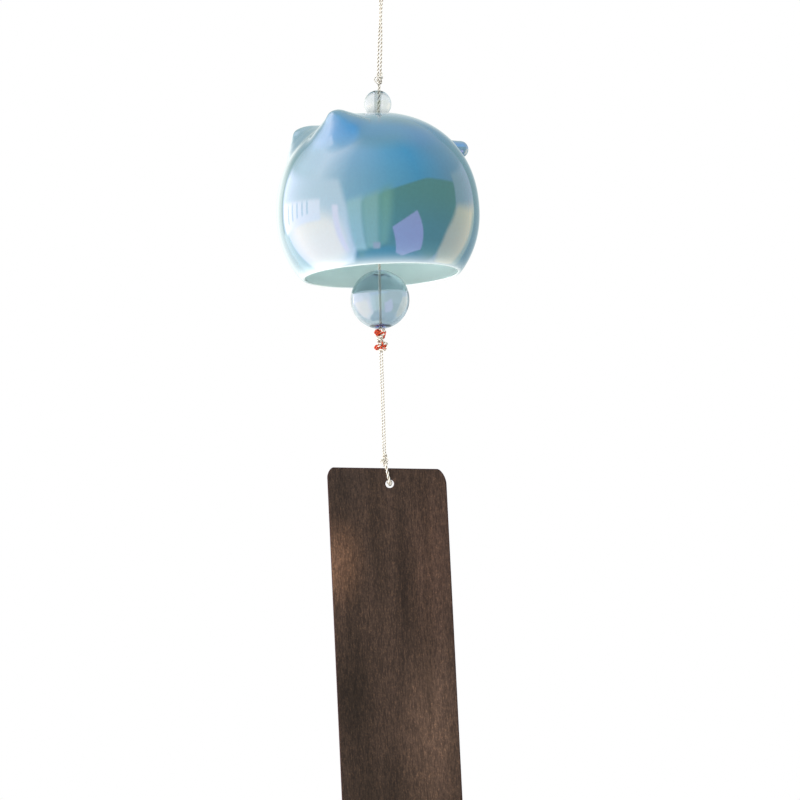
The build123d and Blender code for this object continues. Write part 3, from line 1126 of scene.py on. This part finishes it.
def make_slat_loop():
    """The cord over the slat's top edge, through its hole and up the other face."""
    pivot = place_of("slat_rock")
    axis = (centre_of("slat_knot") - pivot).normalized()
    low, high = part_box("slat_loop")
    reach = (high.y - low.y) / 2 - slat_loop_diameter / 2
    rises = ((high.z - pivot.z) / axis.z, 2 * reach, 0)
    away = Vector((0, reach, 0))
    front = [pivot + axis * rise - away for rise in rises]
    back = [pivot + axis * rise + away for rise in reversed(rises)]
    twisted_cord("slat_loop_cord", "slat_hitch", "slat_loop", front + back, slat_loop_diameter)


make_knots()
make_ties()
make_ends("slat_knot_ends", "slat_hitch", "slat_knot", slat_knot_ends)
make_ends("upper_knot_ends", "knot", "loop_knot", upper_knot_ends)
make_stem()
make_slat_loop()

slat = frame["nodes"]["wind_slat"]
slat.data.materials.clear()
slat.data.materials.append(wood_material())


# Stage: a pale floor and soft lamps. The glaze and the glass mirror a plain studio, painted in the
# world by azimuth and elevation in degrees: azimuth 0 points at the viewer and 90 to the right.
# A band is the two elevations or azimuths between which one colour turns into another.

floor_height = -0.75
floor_radius = 3.0
floor_fade = (0.35, 0.85)
floor_sides = 96
floor_rings = 6
fill_light = (0.62, 0.64, 0.66)
seen_through_glass = (0.42, 0.47, 0.50)
through_band = (18.0, 60.0)
room_top = (0.62, 0.78, 0.88)
room_top_band = (55.0, 80.0)
room_low = (0.06, 0.12, 0.40)
room_low_band = (-30.0, -60.0)
rear_left = (1.45, 1.50, 1.45)
rear_left_high = (0.60, 0.70, 0.66)
rear_left_band = (14.0, 28.0)
rear_right = (0.38, 0.50, 0.56)
rear_side_band = (-20.0, 20.0)
rear_middle = (0.70, 0.80, 0.80)
rear_middle_band = (155.0, 180.0)
rear_band = (137.0, 141.0)
rear_top_band = (48.0, 40.0)
white = (1.0, 1.0, 1.0)

# The room above the patches, by azimuth
sky_stops = [
    (-180, (0.65, 0.75, 0.70)),
    (-140, (0.80, 0.90, 0.90)),
    (-110, (2.0, 2.1, 2.4)),
    (-75, (2.7, 2.7, 3.2)),
    (-35, (1.1, 1.4, 2.2)),
    (15, (0.45, 0.95, 1.85)),
    (50, (0.2, 0.65, 1.6)),
    (95, (0.45, 0.55, 1.0)),
    (165, (0.6, 0.68, 0.6)),
    (180, (0.65, 0.75, 0.70)),
]

# Each patch has its corners in order round it, its colour, and how soft its edges are. A later
# one covers those before it.
studio_patches = {
    "front wall": (
        [(-34, 1), (-18, 7), (9, 14), (30, 21), (61, 26.5), (80, 25), (103, 22), (96, -20),
         (92, -60), (-34, -60)], (0.30, 0.40, 0.32), 2.5,
    ),
    "front left": ([(-36, 6), (-17, 10), (-17, -52), (-36, -50)], (1.55, 1.95, 2.15), 8.0),
    "front middle": ([(-17, 9), (2, 14), (2, -50), (-17, -50)], (1.05, 1.40, 1.22), 8.0),
    "front green": ([(2, 14), (16, 18), (14, -44), (2, -46)], (0.66, 1.00, 0.62), 12.0),
    "front low": ([(-26, -46), (20, -46), (95, -30), (92, -66), (-26, -66)], (0.10, 0.25, 0.60), 12.0),
    "left screen": (
        [(-134, 24), (-46, 24), (-34, 1), (-34, -50), (-50, -62), (-134, -60)], (2.6, 2.6, 3.2), 8.0,
    ),
    "left glow": (
        [(-118, 2), (-62, 0), (-42, -14), (-46, -50), (-60, -58), (-118, -56)], (4.6, 3.8, 3.4), 26.0,
    ),
    "left streak": ([(-52, 4), (-45, 3), (-45, -48), (-52, -50)], (3.9, 3.2, 3.9), 3.5),
    "left edge": (
        [(-146, 1), (-128, -2), (-122, -30), (-122, -62), (-146, -60)], (1.80, 1.95, 1.95), 3.0,
    ),
    "window": ([(-131, 10), (-68, 9), (-68, -8), (-131, -3)], (3.9, 3.5, 4.1), 3.0),
    "right screen": ([(100, 28), (146, 28), (146, -50), (92, -46), (96, -10)], (0.75, 0.82, 1.05), 5.0),
    "right panel": (
        [(100, 9), (141, 11), (142, -10), (134, -32), (112, -44), (92, -34), (88, -14)],
        (1.72, 1.46, 1.02), 8.0,
    ),
    "right edge": ([(133, 9), (146, 10), (146, -40), (128, -40)], (0.82, 0.92, 0.82), 8.0),
    "front panel": (
        [(17, -24), (45, -2), (55, -18), (67, -42), (46, -56), (31, -54), (23, -36)],
        (1.25, 0.92, 2.0), 2.0,
    ),
    "front spot": ([(-7, -43), (4, -43), (4, -51), (-7, -51)], (1.5, 1.15, 1.5), 4.0),
}
window_bars = [-121.0, -112.0, -103.0, -94.0, -86.0]
window_bar_width = 2.4
window_bar_height = 9
window_bar_colour = (2.3, 2.4, 3.1)
window_bar_softness = 2.0


def patch_mask(tree, azimuth, elevation, corners, softness):
    """1 inside a convex patch of directions, fading to 0 across its edges."""
    middle = np.mean(corners, axis=0)
    mask = None
    for (a1, e1), (a2, e2) in zip(corners, corners[1:] + corners[:1]):
        length = hypot(a2 - a1, e2 - e1)
        across_a, across_e = -(e2 - e1) / length, (a2 - a1) / length
        offset = -(across_a * a1 + across_e * e1)
        if across_a * middle[0] + across_e * middle[1] + offset < 0:
            across_a, across_e, offset = -across_a, -across_e, -offset
        depth = tree.maths("MULTIPLY_ADD", azimuth, across_a, offset)
        depth = tree.maths("ADD", depth, tree.maths("MULTIPLY", elevation, across_e))
        edge = tree.smooth_step(depth, -softness / 2, softness / 2)
        mask = edge if mask is None else tree.maths("MULTIPLY", mask, edge)
    return mask


def studio_front(tree, azimuth, elevation):
    """The room before and beside the bell: a sky by azimuth, with the patches and window bars."""
    turn = tree.maths("MULTIPLY_ADD", azimuth, 1 / 360, 0.5)
    stops = [(0.5 + place / 360, shade) for place, shade in sky_stops]
    colour = tree.ramp(turn, stops, "LINEAR")
    colour = tree.mixed(tree.smooth_step(elevation, *room_top_band), colour, room_top)
    colour = tree.mixed(tree.smooth_step(elevation, *room_low_band), colour, room_low)
    patches = list(studio_patches.values())
    for place in window_bars:
        left, right = place - window_bar_width / 2, place + window_bar_width / 2
        bar = [(left, window_bar_height), (right, window_bar_height), (right, 0), (left, 0)]
        patches.append((bar, window_bar_colour, window_bar_softness))
    for corners, shade, softness in patches:
        colour = tree.mixed(patch_mask(tree, azimuth, elevation, corners, softness), colour, shade)
    return colour


def studio_colour(tree, azimuth, elevation):
    """What a mirror sees in each direction."""
    high = tree.smooth_step(elevation, *rear_left_band)
    far_left = tree.mixed(high, rear_left, rear_left_high)
    rear = tree.mixed(tree.smooth_step(azimuth, *rear_side_band), far_left, rear_right)
    behind = tree.maths("ABSOLUTE", azimuth)
    rear = tree.mixed(tree.smooth_step(behind, *rear_middle_band), rear, rear_middle)
    below_top = tree.smooth_step(elevation, *rear_top_band)
    mask = tree.maths("MULTIPLY", tree.smooth_step(behind, *rear_band), below_top)
    return tree.mixed(mask, studio_front(tree, azimuth, elevation), rear)


def make_world():
    """White to the eye, the studio in mirrors, nearly white through glass, and an even fill."""
    world = bpy.data.worlds.new("studio")
    bpy.context.scene.world = world
    world.use_nodes = True
    tree = Tree(world.node_tree)
    tree.nodes.clear()
    ray = tree.add("LightPath").outputs
    x, y, z = tree.parts(tree.coordinates("Generated"))
    azimuth = tree.maths("ARCTAN2", x, tree.maths("MULTIPLY", y, -1.0))
    azimuth = tree.maths("MULTIPLY", azimuth, 180 / pi)
    elevation = tree.maths("MULTIPLY", tree.maths("ARCSINE", z), 180 / pi)
    steep = tree.smooth_step(tree.maths("ABSOLUTE", elevation), *through_band)
    through = tree.mixed(steep, white, seen_through_glass)
    mirror = studio_colour(tree, azimuth, elevation)
    colour = tree.mixed(ray["Is Glossy Ray"], fill_light, mirror)
    colour = tree.mixed(ray["Is Transmission Ray"], colour, through)
    colour = tree.mixed(ray["Is Camera Ray"], colour, white)
    background = tree.add("Background")
    tree.fill(background, Color=colour)
    tree.fill(tree.add("OutputWorld"), Surface=background.outputs["Background"])


def floor_material():
    """Pale, and fading to the background's white well before the floor's edge."""
    material, tree, shader, output = new_material("floor_white")
    position = tree.add("NewGeometry").outputs["Position"]
    far = tree.maths("MULTIPLY", tree.length(position), 1 / floor_radius)
    tree.fill(shader, Base_Color=(0.86, 0.86, 0.86), Roughness=0.9)
    glow = tree.add("Emission").outputs["Emission"]
    fade = tree.smooth_step(far, *floor_fade)
    tree.fill(output, Surface=tree.mixed_shaders(fade, shader.outputs["BSDF"], glow))
    return material


def make_floor():
    points = [(0, 0, floor_height)]
    for ring in range(1, floor_rings + 1):
        radius = floor_radius * ring / floor_rings
        for angle in circle(floor_sides):
            points.append((radius * cos(angle), radius * sin(angle), floor_height))
    faces = grid_faces(floor_rings, floor_sides, base=1, wrap_rows=False)
    faces += [(0, 1 + side, 1 + (side + 1) % floor_sides) for side in range(floor_sides)]
    mesh = mesh_from("floor", points, faces)
    mesh.materials.append(floor_material())
    floor = new_object("floor", mesh)
    floor.visible_glossy = False


def make_lamp(name, place, size, power):
    """A soft round lamp that lights the bell and isn't seen in it."""
    data = bpy.data.lights.new(name, "AREA")
    data.shape = "DISK"
    data.size = size
    data.energy = power
    light = new_object(name, data)
    light.location = place
    light.rotation_euler = (centre_of("bell") - Vector(place)).to_track_quat("-Z", "Y").to_euler()
    light.visible_glossy = False
    light.visible_camera = False
    light.visible_transmission = False


make_world()
make_floor()
make_lamp("key_lamp", (-1.1, -1.2, 0.9), 1.0, 18.0)
make_lamp("fill_lamp", (1.4, -0.6, 0.2), 1.0, 8.0)
make_lamp("low_lamp", (-0.45, -0.12, -0.62), 0.5, 5.0)

bpy.context.scene.view_settings.view_transform = "Standard"
